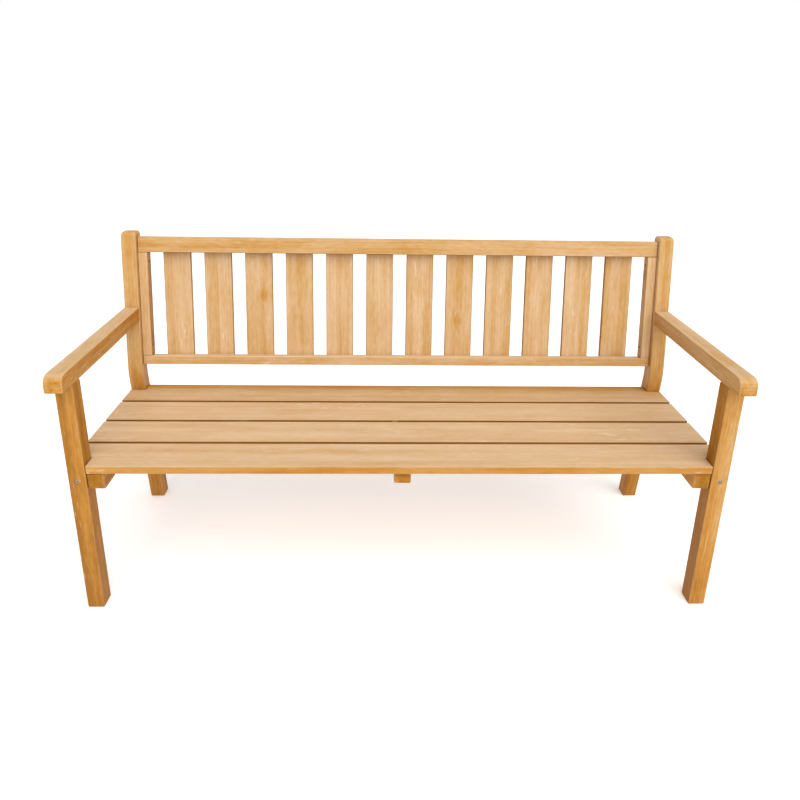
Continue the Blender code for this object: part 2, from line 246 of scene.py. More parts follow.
def cover_with_holes(ring, holes):
    """Triangles that fill a ring of 2-D points, leaving out the holes' circles."""
    circle = circle_points(HOLE_SIDES)
    rims = [np.array(hole[:2]) + hole.radius * circle for hole in holes]
    flat = np.concatenate([ring] + rims)
    edges = [(i, (i + 1) % len(ring)) for i in range(len(ring))]
    base = len(ring)
    for _ in holes:
        edges += [(base + i, base + (i + 1) % HOLE_SIDES) for i in range(HOLE_SIDES)]
        base += HOLE_SIDES
    made = delaunay_2d_cdt([Vector(p) for p in flat], edges, [], 1, 1e-9)
    spots = np.array([tuple(p) for p in made[0]])
    origin = np.array([source[0] for source in made[3]])
    faces = np.array(made[2])
    middle = spots[faces].mean(axis=1)
    keep = np.ones(len(faces), bool)
    for hole in holes:
        keep &= np.linalg.norm(middle - np.array(hole[:2]), axis=1) > hole.radius * 0.999
    return origin[faces[keep]]


def hole_rings(holes, share, rise):
    """A ring for each hole: centre + radius * share * circle, at the hole's own rise."""
    circle = circle_points(HOLE_SIDES)
    return np.concatenate([
        np.column_stack((np.array(hole[:2]) + hole.radius * share * circle,
                         np.full(HOLE_SIDES, rise(hole)))) for hole in holes])


def oriented(flat, triangles, side):
    """Triangles turned so that they all face the given side."""
    a, b, c = (flat[triangles[:, k], :2] for k in range(3))
    turn = (b - a)[:, 0] * (c - a)[:, 1] - (b - a)[:, 1] * (c - a)[:, 0]
    wrong = turn * side < 0
    triangles = triangles.copy()
    triangles[wrong] = triangles[wrong][:, ::-1]
    return triangles.tolist()


def rounded_slab(outline, outward, widths, half):
    """Rings of a slab from the rim of its back face, over both arrises, to the front.

    With s round the outline and t a quarter turn over an arris,
    P(s, t) = outline(s) - ease(s) * (1 - sin t) * normal(s), raised by
    ease(s) * (1 - cos t) from the nearer face, and the arris's middle = sin 2t, which places
    pale wear with a painted highlight and painted seam shade.
    """
    run = np.concatenate(([0.0], np.cumsum(np.linalg.norm(np.diff(outline, axis=0), axis=1))))
    phase = GRAIN.uniform(0, 2 * np.pi, (2, 3))
    low_ease = widths * wandering(run, ARRIS_WANDER, phase[0])
    high_ease = widths * wandering(run, ARRIS_WANDER, phase[1])
    bend = np.linspace(0, np.pi / 2, EASE_STEPS + 1)[:, None]
    low_in, low_up = low_ease * (1 - np.sin(bend)), -half + low_ease * (1 - np.cos(bend))
    top_in, top_up = high_ease * (1 - np.sin(bend)), half - high_ease * (1 - np.cos(bend))
    inset = np.concatenate((low_in, top_in[::-1]))
    rise = np.concatenate((low_up, top_up[::-1]))
    lean = np.concatenate((bend, bend[::-1]))
    tilt = np.cos(lean) * np.repeat((-1.0, 1.0), EASE_STEPS + 1)[:, None]
    spot = outline - inset[..., None] * outward
    facing = np.sin(lean)[..., None] * outward
    points = np.concatenate((spot, rise[..., None]), axis=-1)
    tilted = np.broadcast_to(tilt[..., None], rise.shape + (1,))
    normals = np.concatenate((facing, tilted), axis=-1)
    arris_middle = np.repeat(np.sin(2 * lean), len(outline), axis=1)
    return points, normals, arris_middle


def slab_faces(rings, holes, half):
    """A slab's sides and two caps, with pockets drilled into them.

    A cap without pockets is one face. Returns all points and faces, the faces
    that stay crisp, and a normal for each point that the pockets add.
    """
    rows, cols = rings.shape[:2]
    index = np.arange(rows * cols).reshape(rows, cols)
    beside = np.roll(index, -1, axis=1)
    sides = np.stack((index[:-1], beside[:-1], beside[1:], index[1:]), axis=-1).reshape(-1, 4)
    flat, faces, crisp, added = rings.reshape(-1, 3), sides.tolist(), [], [np.zeros((0, 3))]
    for side, ring in ((-1, index[0]), (1, index[-1])):
        mine = [hole for hole in holes if hole.side == side]
        if not mine:
            faces.append(ring.tolist() if side > 0 else ring[::-1].tolist())
            continue
        cover = cover_with_holes(flat[ring, :2], mine)
        base, count = len(flat), len(mine) * HOLE_SIDES
        lookup = np.concatenate((ring, base + np.arange(count)))
        flat = np.concatenate((flat, hole_rings(mine, 1.0, lambda hole: side * half),
                               hole_rings(mine, POCKET_TAPER,
                                          lambda hole: side * (half - hole.depth))))
        faces += oriented(flat, lookup[cover], side)
        for start in range(base, base + count, HOLE_SIDES):
            rim = start + np.arange(HOLE_SIDES)
            lower = rim + count
            quads = np.stack((rim, np.roll(rim, -1), np.roll(lower, -1), lower), axis=1)
            crisp += range(len(faces), len(faces) + HOLE_SIDES + 1)
            faces += (quads if side > 0 else quads[:, ::-1]).tolist()
            faces.append(lower.tolist() if side > 0 else lower[::-1].tolist())
        added.append(np.tile((0.0, 0.0, float(side)), (2 * count, 1)))
    return flat, faces, crisp, np.concatenate(added)


def stain_by_facing(normals, stain):
    """Stain depth = side * x^2 + front * y^2 + (top or under) * z^2 of the normal.

    Painted shade: faces turned from the light are made darker and faces that look up paler, on
    top of the pieces' own stain.
    """
    side, front, top, under = stain
    squares = normals ** 2
    level = np.where(normals[:, 2] > 0, top, under)
    return squares[:, 0] * side + squares[:, 1] * front + squares[:, 2] * level


def fibre_start():
    """Where a stick was cut from its log: along it, and off the pith."""
    angle = GRAIN.uniform(0, 2 * np.pi)
    pith = GRAIN.uniform(0.045, 0.110)
    return np.array((GRAIN.uniform(0, 40), pith * math.cos(angle), pith * math.sin(angle)))


def fading(along, start, reach):
    """A plane as (x, y, z, shift): 0 at start and 1 a signed reach beyond it, along an axis."""
    return (*(along / reach), -start / reach)


def sawn_piece(name, corners, thick, middle, along_u, along_v, finish, grain_along="u",
               corner_radius=0.0034, ease=0.0024, ease_at=None, holes=(), grain_line=None,
               stain=(0.5, 0.5, 0.5, 0.5), flecks=0.2, edge=0.2, seam=(),
               figure=0.8, knot=FAR_OFF, shelter=None):
    """A sawn outline with a thickness, rounded arrises and drilled pockets.

    Its fibres run along u or v, less grain_line where the stick is bent. The stain
    numbers, by facing, also paint shade on faces turned from the light. By edge the
    arrises are made pale as wear with a painted highlight, or darkened as painted shade,
    and they get painted seam shade where they face a seam. Painted shade under other
    parts is a plane: the colour is darkened where x, y, z times it, plus its shift,
    comes near 1. The knot is measured from the same start as the fibres.
    """
    outline, outward = softened_outline(corners, corner_radius)
    half = thick / 2
    widths = ease if ease_at is None else ease_at(outline)
    rings, facing, arris_middle = rounded_slab(outline, outward, widths, half)
    flat, faces, crisp, pocket_normals = slab_faces(rings, holes, half)
    face = np.concatenate((facing.reshape(-1, 3), pocket_normals))
    arris_middle = np.concatenate((arris_middle.ravel(), np.zeros(len(pocket_normals))))
    axes = np.stack((along_u, along_v, np.cross(along_u, along_v)))
    points = np.asarray(middle, float) + flat @ axes
    normals = face @ axes

    order = (0, 1, 2) if grain_along == "u" else (1, 0, 2)
    fibre = flat[:, order].copy()
    if grain_line is not None:
        fibre[:, 1] -= grain_line(fibre[:, 0])
    start = fibre_start()
    count = len(points)
    arris_wear_and_shade = np.full(count, edge)
    for direction in seam:
        arris_wear_and_shade[normals @ np.asarray(direction, float) > 0.15] = SEAM_SHADE_EDGE
    deep = np.full(count, -1.0)
    if shelter is not None:
        deep = points @ np.asarray(shelter[:3]) + shelter[3]
    marks = {"fibre": fibre + start, "arris_middle": arris_middle, "cut_end": np.abs(face[:, order[0]]) ** 4,
             "knot_at": np.tile(start + knot, (count, 1)),
             "tone": np.column_stack((stain_by_facing(normals, stain),
                                      np.full(count, flecks), arris_wear_and_shade)),
             "figure": np.full(count, figure), "shelter": deep}
    return finished_object(name, points, faces, normals, finish, marks, crisp)


def square_stick(name, long, wide, thick, middle, along, across, finish, **more):
    """A plain stick: a rectangle, long by wide, given a thickness."""
    corners = [(-long / 2, -wide / 2), (long / 2, -wide / 2),
               (long / 2, wide / 2), (-long / 2, wide / 2)]
    return sawn_piece(name, corners, thick, middle, along, across, finish, **more)


# ---------------------------------------------------------------- finishes
def put(tree, kind, feeds=None, **settings):
    """Add a node, set it, and feed its sockets with values or other outputs."""
    made = tree.nodes.new(kind)
    for key, value in settings.items():
        setattr(made, key, value)
    for key, value in (feeds or {}).items():
        if isinstance(value, bpy.types.NodeSocket):
            tree.links.new(value, made.inputs[key])
        else:
            made.inputs[key].default_value = value
    return made.outputs


def sums(tree, operation, first, second=0.0, clamp=False):
    """One sum on values: ADD, SUBTRACT, MULTIPLY, MAXIMUM or FRACT."""
    return put(tree, "ShaderNodeMath", {0: first, 1: second},
               operation=operation, use_clamp=clamp)[0]


def stretched(tree, vector, factors):
    """The vector multiplied by factors, one an axis."""
    return put(tree, "ShaderNodeVectorMath", {0: vector, 1: factors}, operation="MULTIPLY")[0]


def cloudy(tree, vector, scale=1.0, detail=2.0, rough=0.5):
    """Noise about 0.5."""
    return put(tree, "ShaderNodeTexNoise",
               {"Vector": vector, "Scale": scale, "Detail": detail, "Roughness": rough})["Fac"]


def between(tree, value, low, high, start=0.0, stop=1.0):
    """Start below low, stop above high, and a smooth step between them."""
    return put(tree, "ShaderNodeMapRange",
               {"Value": value, "From Min": low, "From Max": high,
                "To Min": start, "To Max": stop}, interpolation_type="SMOOTHSTEP")[0]


def blended(tree, share, first, second):
    """A share of the second colour over the first."""
    return put(tree, "ShaderNodeMix", {0: share, 6: first, 7: second}, data_type="RGBA")[2]


def colour_run(tree, value, stops):
    """The colour at a value on a run of (place, colour) stops."""
    made = tree.nodes.new("ShaderNodeValToRGB")
    line = made.color_ramp
    line.elements[0].position, line.elements[0].color = stops[0]
    line.elements[1].position, line.elements[1].color = stops[-1]
    for place, colour in stops[1:-1]:
        line.elements.new(place).color = colour
    tree.links.new(value, made.inputs[0])
    return made.outputs[0]


def blank_finish(name):
    """A new material with only its shader and output."""
    made = bpy.data.materials.new(name)
    made.use_nodes = True
    tree = made.node_tree
    tree.nodes.clear()
    end = tree.nodes.new("ShaderNodeOutputMaterial")
    shader = tree.nodes.new("ShaderNodeBsdfPrincipled")
    tree.links.new(shader.outputs[0], end.inputs["Surface"])
    return made, tree, shader


def opaque(red, green, blue):
    """A colour with its alpha."""
    return (red, green, blue, 1.0)


# Colours by depth, pale to dark; the dark end also stands for painted shade on faces turned from
# the light and under other parts.
STAIN_RUN = [(0.0, opaque(0.70, 0.50, 0.31)), (0.25, opaque(0.61, 0.395, 0.208)),
             (0.5, opaque(0.53, 0.295, 0.095)), (0.75, opaque(0.445, 0.190, 0.022)),
             (1.0, opaque(0.29, 0.112, 0.004))]
KNOT_BROWN = opaque(0.13, 0.050, 0.014)
# A pale for flecks and for arrises made pale as wear with a painted highlight, then the brown of
# painted shade in the seams between parts.
FLECK_AND_HIGHLIGHT_PALE = opaque(0.80, 0.65, 0.45)
SEAM_SHADE_BROWN = opaque(0.15, 0.062, 0.012)


def stained_softwood(name):
    """Honey stain on sawn softwood: rings about the pith, streaks, a knot and flecks.

    Depth = stain, with painted shade by facing, + figure * (weighted noises and late wood)
    + knot's halo + painted shade under other parts + end grain, and picks a colour on
    STAIN_RUN. Noises are stretched along the fibres. Pale flecks, arrises made pale as
    wear with a painted highlight, painted seam shade and the knot's heart lie over it.
    """
    made, tree, shader = blank_finish(name)
    fibre = put(tree, "ShaderNodeAttribute", attribute_name="fibre")["Vector"]
    knot_at = put(tree, "ShaderNodeAttribute", attribute_name="knot_at")["Vector"]
    tone = put(tree, "ShaderNodeAttribute", attribute_name="tone")["Vector"]
    arris_middle = put(tree, "ShaderNodeAttribute", attribute_name="arris_middle")["Fac"]
    cut_end = put(tree, "ShaderNodeAttribute", attribute_name="cut_end")["Fac"]
    figure = put(tree, "ShaderNodeAttribute", attribute_name="figure")["Fac"]
    shelter = put(tree, "ShaderNodeAttribute", attribute_name="shelter")["Fac"]
    stain, flecking, edge = put(tree, "ShaderNodeSeparateXYZ", {0: tone}).values()[:3]

    # noises, from the broadest to the finest
    wander = cloudy(tree, stretched(tree, fibre, (1.6, 9.0, 9.0)), detail=3.0)
    streak = cloudy(tree, stretched(tree, fibre, (1.5, 40.0, 40.0)), detail=3.0, rough=0.55)
    blotch = cloudy(tree, stretched(tree, fibre, (8.0, 30.0, 30.0)), detail=2.0)
    mottle = cloudy(tree, stretched(tree, fibre, (42.0, 150.0, 150.0)), detail=2.0)
    hairs = cloudy(tree, stretched(tree, fibre, (14.0, 520.0, 520.0)), detail=2.0, rough=0.6)

    # the knot: a ragged heart, a halo, and rings that swell round it
    ragged = cloudy(tree, stretched(tree, fibre, (150.0, 260.0, 260.0)), detail=2.0)
    away = put(tree, "ShaderNodeVectorMath", {0: fibre, 1: knot_at}, operation="SUBTRACT")[0]
    away = stretched(tree, away, (0.62, 1.0, 0.12))
    away = put(tree, "ShaderNodeVectorMath", {0: away}, operation="LENGTH")["Value"]
    ringed = sums(tree, "ADD", away, sums(tree, "MULTIPLY", ragged, 0.0022))
    knot = between(tree, ringed, 0.0028, 0.0052, 1.0, 0.0)
    halo = between(tree, away, 0.004, 0.020, 1.0, 0.0)
    swell = between(tree, away, 0.0, 0.030, 0.010, 0.0)

    # late wood: a dark line at the outer edge of each ring round the pith
    off_pith = stretched(tree, fibre, (0.0, 1.0, 1.0))
    reach = put(tree, "ShaderNodeVectorMath", {0: off_pith}, operation="LENGTH")["Value"]
    reach = sums(tree, "ADD", reach, sums(tree, "MULTIPLY", wander, 0.020))
    reach = sums(tree, "ADD", reach, swell)
    phase = sums(tree, "FRACT", sums(tree, "MULTIPLY", reach, RINGS_A_METRE))
    late = sums(tree, "MULTIPLY", between(tree, phase, 0.25, 0.88),
                between(tree, phase, 0.92, 1.0, 1.0, 0.0))

    depth = 0.0
    for part, usual, weight in ((streak, 0.5, STREAK), (late, 0.35, LATE), (blotch, 0.5, BLOTCH),
                                (mottle, 0.5, MOTTLE), (hairs, 0.5, HAIRS)):
        part = sums(tree, "SUBTRACT", part, usual)
        depth = sums(tree, "ADD", sums(tree, "MULTIPLY", part, weight), depth)
    depth = sums(tree, "ADD", sums(tree, "MULTIPLY", depth, figure), stain)
    # Painted shade under other parts, from the plane given to each piece.
    sheltered = between(tree, shelter, 0.0, 1.0)
    for part, weight in ((halo, HALO_DEEPER), (sheltered, UNDER_SHADE_DEEPER)):
        depth = sums(tree, "ADD", depth, sums(tree, "MULTIPLY", part, weight))
    depth = sums(tree, "ADD", depth, sums(tree, "MULTIPLY", cut_end, END_DEEPER), clamp=True)
    colour = colour_run(tree, depth, STAIN_RUN)

    # pale flecks in patches, arrises made pale as wear with a painted highlight, and painted
    # seam shade where edge is negative
    scuff = cloudy(tree, stretched(tree, fibre, (30.0, 210.0, 210.0)), detail=1.0)
    patch = cloudy(tree, stretched(tree, fibre, (3.6, 20.0, 20.0)), detail=1.0)
    fleck = sums(tree, "MULTIPLY", between(tree, scuff, 0.60, 0.72, 0.0, 0.75),
                 between(tree, patch, 0.57, 0.68))
    fleck = sums(tree, "MULTIPLY", fleck, sums(tree, "SUBTRACT", 1.0, cut_end))
    fleck = sums(tree, "MULTIPLY", fleck, flecking, clamp=True)
    rubbed_and_highlit = sums(tree, "MULTIPLY", arris_middle, between(tree, scuff, 0.30, 0.65, 0.15, 0.50))
    rubbed_and_highlit = sums(tree, "MULTIPLY", rubbed_and_highlit, edge, clamp=True)
    seam_shade = sums(tree, "MULTIPLY", between(tree, arris_middle, 0.0, 0.6), edge)
    seam_shade = sums(tree, "MULTIPLY", seam_shade, -1.0, clamp=True)
    colour = blended(tree, sums(tree, "MAXIMUM", fleck, rubbed_and_highlit), colour, FLECK_AND_HIGHLIGHT_PALE)
    colour = blended(tree, seam_shade, colour, SEAM_SHADE_BROWN)
    colour = blended(tree, sums(tree, "MULTIPLY", knot, 0.88), colour, KNOT_BROWN)

    relief = sums(tree, "ADD", sums(tree, "MULTIPLY", hairs, 0.8),
                  sums(tree, "MULTIPLY", late, 0.35))
    relief = sums(tree, "SUBTRACT", relief, sums(tree, "MULTIPLY", knot, 0.4))
    bump = put(tree, "ShaderNodeBump", {"Height": relief, "Strength": 0.35, "Distance": 0.0005})
    gloss = sums(tree, "ADD", sums(tree, "MULTIPLY", blotch, 0.18), 0.46)
    gloss = sums(tree, "ADD", gloss, sums(tree, "MULTIPLY", cut_end, 0.20))
    tree.links.new(colour, shader.inputs["Base Color"])
    tree.links.new(gloss, shader.inputs["Roughness"])
    tree.links.new(bump[0], shader.inputs["Normal"])
    shader.inputs["Specular IOR Level"].default_value = 0.25
    return made


def zinc_plate(name):
    """Passivated zinc on steel: cloudy grey with a faint yellow cast and dull spots."""
    made, tree, shader = blank_finish(name)
    place = put(tree, "ShaderNodeTexCoord")["Object"]
    cloud = cloudy(tree, place, scale=420.0, detail=3.0)
    spots = cloudy(tree, place, scale=1700.0, detail=2.0)
    colour = colour_run(tree, cloud, [(0.25, opaque(0.31, 0.26, 0.18)),
                                      (0.55, opaque(0.42, 0.37, 0.28)),
                                      (0.85, opaque(0.24, 0.19, 0.12))])
    gloss = between(tree, spots, 0.3, 0.7, 0.28, 0.52)
    bump = put(tree, "ShaderNodeBump", {"Height": spots, "Strength": 0.2, "Distance": 0.0001})
    tree.links.new(colour, shader.inputs["Base Color"])
    tree.links.new(gloss, shader.inputs["Roughness"])
    tree.links.new(bump[0], shader.inputs["Normal"])
    shader.inputs["Metallic"].default_value = 1.0
    return made


def studio_floor(name):
    """Matt off-white with faint clouds and a little light of its own."""
    made, tree, shader = blank_finish(name)
    place = put(tree, "ShaderNodeTexCoord")["Object"]
    cloud = cloudy(tree, place, scale=2.2, detail=2.0)
    colour = colour_run(tree, cloud, [(0.2, opaque(0.95, 0.95, 0.95)),
                                      (0.8, opaque(0.98, 0.98, 0.98))])
    tree.links.new(colour, shader.inputs["Base Color"])
    shader.inputs["Roughness"].default_value = 0.7
    shader.inputs["Specular IOR Level"].default_value = 0.2
    shader.inputs["Emission Color"].default_value = (1.0, 1.0, 1.0, 1.0)
    shader.inputs["Emission Strength"].default_value = TABLE_GLOW
    return made


softwood = stained_softwood("honey_stained_softwood")
zinc = zinc_plate("zinc_plated_steel")


def seated(piece, node):
    """The piece stands for one node of the frame and rides with the bench."""
    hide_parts(node)
    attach(piece, "root")
    return piece


def lean_spot(x, deep, up):
    """A point of the leaning back: deep behind the posts' front, up along them."""
    return np.array((x, BEND_Y, BEND_Z)) + deep * LEAN_BACK + up * LEAN_UP


# ---------------------------------------------------------------- timber
SIDES = (("left", -1), ("right", 1))


def box_middle(node):
    """The middle of a node's box."""
    low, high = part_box(node)
    return (np.array(low) + np.array(high)) / 2


def behind_post(up):
    """How far back a post's front face is at a height, below the bend or above it."""
    return BEND_Y + abs(up - BEND_Z) * math.tan(LEAN)


def slat_across(number):
    """Where a slat's middle is along X, counted from 1 at the left."""
    return (number - (SLAT_COUNT + 1) / 2) * SLAT_PITCH


def front_leg(side, **look):
    """Square leg with a pocket in its front face, which is side -1 as Z x X = Y."""
    low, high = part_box(f"front_leg_{side}")
    middle = box_middle(f"front_leg_{side}")
    up = box_middle(f"leg_screw_{side}")[2] - middle[2]
    piece = square_stick(f"leg_{side}", high.z - low.z, STICK, STICK, middle, Z_AXIS, X_AXIS,
                         softwood, holes=[Pocket(up, 0.0, *LEG_POCKET, -1)], **look)
    return seated(piece, f"front_leg_{side}")


def back_post(side, sign, **look):
    """A stick bent where both halves lean back, with a well-rounded top."""
    tan = math.tan(LEAN)
    deep = STICK / math.cos(LEAN)
    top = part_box(f"back_post_{side}")[1].z
    foot_y, top_y = behind_post(0.0), behind_post(top)
    corners = [(foot_y, 0.0), (foot_y + deep, 0.0), (BEND_Y + deep, BEND_Z),
               (top_y + deep, top), (top_y, top), (BEND_Y, BEND_Z)]
    radii = (0.0036, 0.0036, BEND_RADIUS - STICK / 2, POST_TOP_RADIUS, POST_TOP_RADIUS,
             BEND_RADIUS + STICK / 2)

    def ease_at(outline):
        """2.5 mm, with a smooth step up to 6 mm round the top."""
        near_top = np.clip((outline[:, 1] - (top - 0.014)) / 0.012, 0, 1)
        return 0.0025 + 0.0035 * near_top ** 2 * (3 - 2 * near_top)

    def grain_line(up):
        """The front face's line, with the corner at the bend rounded off."""
        return BEND_Y + (np.sqrt((up - BEND_Z) ** 2 + 0.004) - 0.063) * tan

    piece = sawn_piece(f"post_{side}", corners, STICK, (sign * STICK_MID, 0.0, 0.0), Y_AXIS,
                       Z_AXIS, softwood, grain_along="v", corner_radius=radii, ease_at=ease_at,
                       grain_line=grain_line, **look)
    return seated(piece, f"back_post_{side}")


def armrest(side, sign, **look):
    """Level arm with a rounded nose, cut at the back to the post's lean."""
    low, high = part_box(f"armrest_{side}")
    corners = [(low.y, low.z), (behind_post(low.z) - GAP, low.z),
               (behind_post(high.z) - GAP, high.z), (low.y, high.z)]
    piece = sawn_piece(f"arm_{side}", corners, STICK, (sign * STICK_MID, 0, 0), Y_AXIS, Z_AXIS,
                       softwood, corner_radius=(0.004, 0.0038, 0.0038, ARM_NOSE), ease=0.0028,
                       **look)
    return seated(piece, f"armrest_{side}")


def side_rail(side, sign, **look):
    """Rail under the seat from the leg's back to the post's leaning front."""
    low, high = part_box(f"side_rail_{side}")
    corners = [(low.y, low.z), (behind_post(low.z) - GAP, low.z),
               (behind_post(high.z) - GAP, high.z), (low.y, high.z)]
    piece = sawn_piece(f"rail_under_seat_{side}", corners, STICK, (sign * STICK_MID, 0, 0),
                       Y_AXIS, Z_AXIS, softwood, corner_radius=0.0024, ease=0.0016, **look)
    return seated(piece, f"side_rail_{side}")


def seat_bearer(place, sign, **look):
    """Fore-and-aft bearer. The outer two are screwed outwards to the side rails."""
    low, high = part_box(f"seat_bearer_{place}")
    middle = box_middle(f"seat_bearer_{place}")
    holes = []
    for spot in ("front", "rear") if sign else ():
        off = box_middle(f"bearer_screw_{place}_{spot}") - middle
        holes.append(Pocket(off[1], off[2], *BEARER_POCKET, -sign))
    piece = square_stick(f"bearer_{place}", high.y - low.y, high.z - low.z, high.x - low.x,
                         middle, Y_AXIS, Z_AXIS, softwood, corner_radius=0.0070, ease=0.0052,
                         holes=holes, **look)
    return seated(piece, f"seat_bearer_{place}")


def seat_board(number, **look):
    """Board across the bearers. The first and last are notched at both ends."""
    low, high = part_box(f"seat_board_{number}")
    notch = INNER - NOTCH_PLAY
    right = [(HALF, low.y), (HALF, high.y)]
    if number == 1:
        leg_back = LEG_FRONT + STICK + NOTCH_PLAY
        right = [(notch, low.y), (notch, leg_back), (HALF, leg_back), (HALF, high.y)]
    if number == 4:
        post_y = behind_post(high.z) - NOTCH_PLAY
        right = [(HALF, low.y), (HALF, post_y), (notch, post_y), (notch, high.y)]
    corners = right + [(-x, y) for x, y in right[::-1]]
    piece = sawn_piece(f"board_{number}", corners, high.z - low.z, (0, 0, (low.z + high.z) / 2),
                       X_AXIS, Y_AXIS, softwood, corner_radius=0.0030, ease=0.0016, **look)
    return seated(piece, f"seat_board_{number}")


def panel_rail(name, span, **look):
    """Rail between the posts; span is its lower and upper edge up the lean."""
    middle = lean_spot(0, FRAME_SETBACK + FRAME_DEEP / 2, sum(span) / 2)
    piece = square_stick(name, 2 * (INNER - GAP), span[1] - span[0], FRAME_DEEP, middle,
                         X_AXIS, LEAN_UP, softwood, corner_radius=0.0026, ease=0.0018, **look)
    return seated(piece, f"back_{name}")


def panel_batten(side, sign, **look):
    """Batten between the rails, with two pockets in its inner face."""
    low = BOTTOM_RAIL[1] + GAP
    high = TOP_RAIL[0] - GAP
    middle = lean_spot(sign * (INNER - GAP - BATTEN_WIDE / 2), FRAME_SETBACK + FRAME_DEEP / 2,
                       (low + high) / 2)
    holes = [Pocket(up - (low + high) / 2, 0.0, *BATTEN_POCKET, sign) for _, up in PANEL_SCREWS]
    piece = square_stick(f"batten_{side}", high - low, FRAME_DEEP, BATTEN_WIDE, middle,
                         LEAN_UP, LEAN_BACK, softwood, corner_radius=0.0026, ease=0.0017,
                         holes=holes, **look)
    return seated(piece, f"back_batten_{side}")


def back_slat(number, **look):
    """Upright slat on the back faces of both rails."""
    foot, head = SLAT_SPAN
    middle = lean_spot(slat_across(number), FRAME_SETBACK + FRAME_DEEP + GAP + SLAT_THICK / 2,
                       (foot + head) / 2)
    piece = square_stick(f"slat_{number:02d}", head - foot, SLAT_WIDE, SLAT_THICK, middle,
                         LEAN_UP, X_AXIS, softwood, corner_radius=0.0024, ease=0.0016, **look)
    return seated(piece, f"back_slat_{number:02d}")


for side, sign in SIDES:
    # Legs: arrises made pale as wear with a painted highlight; darker towards the foot.
    front_leg(side, stain=LEG_STAIN_AND_SHADE[side], flecks=0.25, edge=0.30,
              shelter=fading(Z_AXIS, 0.45, -0.90))
    # Posts: painted shade below the seat, darker towards the foot.
    back_post(side, sign, stain=POST_STAIN_AND_SHADE, flecks=0.3, edge=0.15,
              shelter=fading(Z_AXIS, 0.62, -0.34))
    # Arms: arrises made pale as wear with a painted highlight.
    armrest(side, sign, stain=ARM_STAIN_AND_SHADE[side], flecks=0.4, edge=0.30)
    side_rail(side, sign, stain=SIDE_RAIL_STAIN_AND_SHADE)
    seat_bearer(side, sign, stain=SIDE_BEARER_STAIN_AND_SHADE)
    # Battens: painted shade on every arris, in the seams by the posts and rails.
    panel_batten(side, sign, stain=BATTEN_STAIN_AND_SHADE[side], edge=-0.5,
                 knot=(0.10 * sign, 0.002, 0.0))
seat_bearer("centre", 0, stain=CENTRE_BEARER_STAIN_AND_SHADE)

# Board 1: front arris pale as wear with a painted highlight, painted shade on its back arris.
# Boards 2 to 4: painted shade on every arris in the gaps. Board 4: painted shade along its back,
# under the panel.
BOARD_LOOKS = {1: {"flecks": 0.6, "edge": 0.6, "seam": (Y_AXIS,)},
               2: {"flecks": 1.0, "edge": -0.9},
               3: {"flecks": 1.0, "edge": -0.9},
               4: {"flecks": 0.6, "edge": -0.9,
                   "shelter": fading(Y_AXIS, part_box("seat_board_4")[1].y - 0.065, 0.065)}}
for number, look in BOARD_LOOKS.items():
    seat_board(number, stain=BOARD_STAIN_AND_SHADE[number], figure=0.55, **look)

# Top rail: painted shade on its lower arris over the slats and at its ends. Bottom rail: top
# arris pale as wear with a painted highlight, painted shade on its back arris at the slats' feet
# and at its ends.
panel_rail("top_rail", TOP_RAIL, stain=TOP_RAIL_STAIN_AND_SHADE, edge=0.1,
           seam=(-Z_AXIS, X_AXIS, -X_AXIS))
panel_rail("bottom_rail", BOTTOM_RAIL, stain=BOTTOM_RAIL_STAIN_AND_SHADE, flecks=0.5, edge=0.75,
           seam=(Y_AXIS, X_AXIS, -X_AXIS))
# Slats: painted shade on their sides and arrises, in the gaps between them; each face's own
# depth is the slat's stain.
for number in range(1, SLAT_COUNT + 1):
    back_slat(number, stain=(0.90, GRAIN.uniform(*SLAT_FACE_STAIN), 0.4, 0.6), flecks=0.7,
              figure=0.85, edge=-0.7, knot=SLAT_KNOTS.get(number, FAR_OFF))


# ---------------------------------------------------------------- fasteners
def turned_points(radius, height):
    """Rings about +Z: (radius cos a, radius sin a, height) for whole arrays."""
    across, along = circle_points(radius.shape[1]).T
    return np.stack((radius * across, radius * along, height), axis=-1)


def closed_grid(rings):
    """Quads between neighbouring rings, with a closing face at each end."""
    rows, cols = rings.shape[:2]
    index = np.arange(rows * cols).reshape(rows, cols)
    beside = np.roll(index, -1, axis=1)
    quads = np.stack((index[1:], beside[1:], beside[:-1], index[:-1]), axis=-1).reshape(-1, 4)
    return quads.tolist() + [index[0].tolist(), index[-1, ::-1].tolist()]


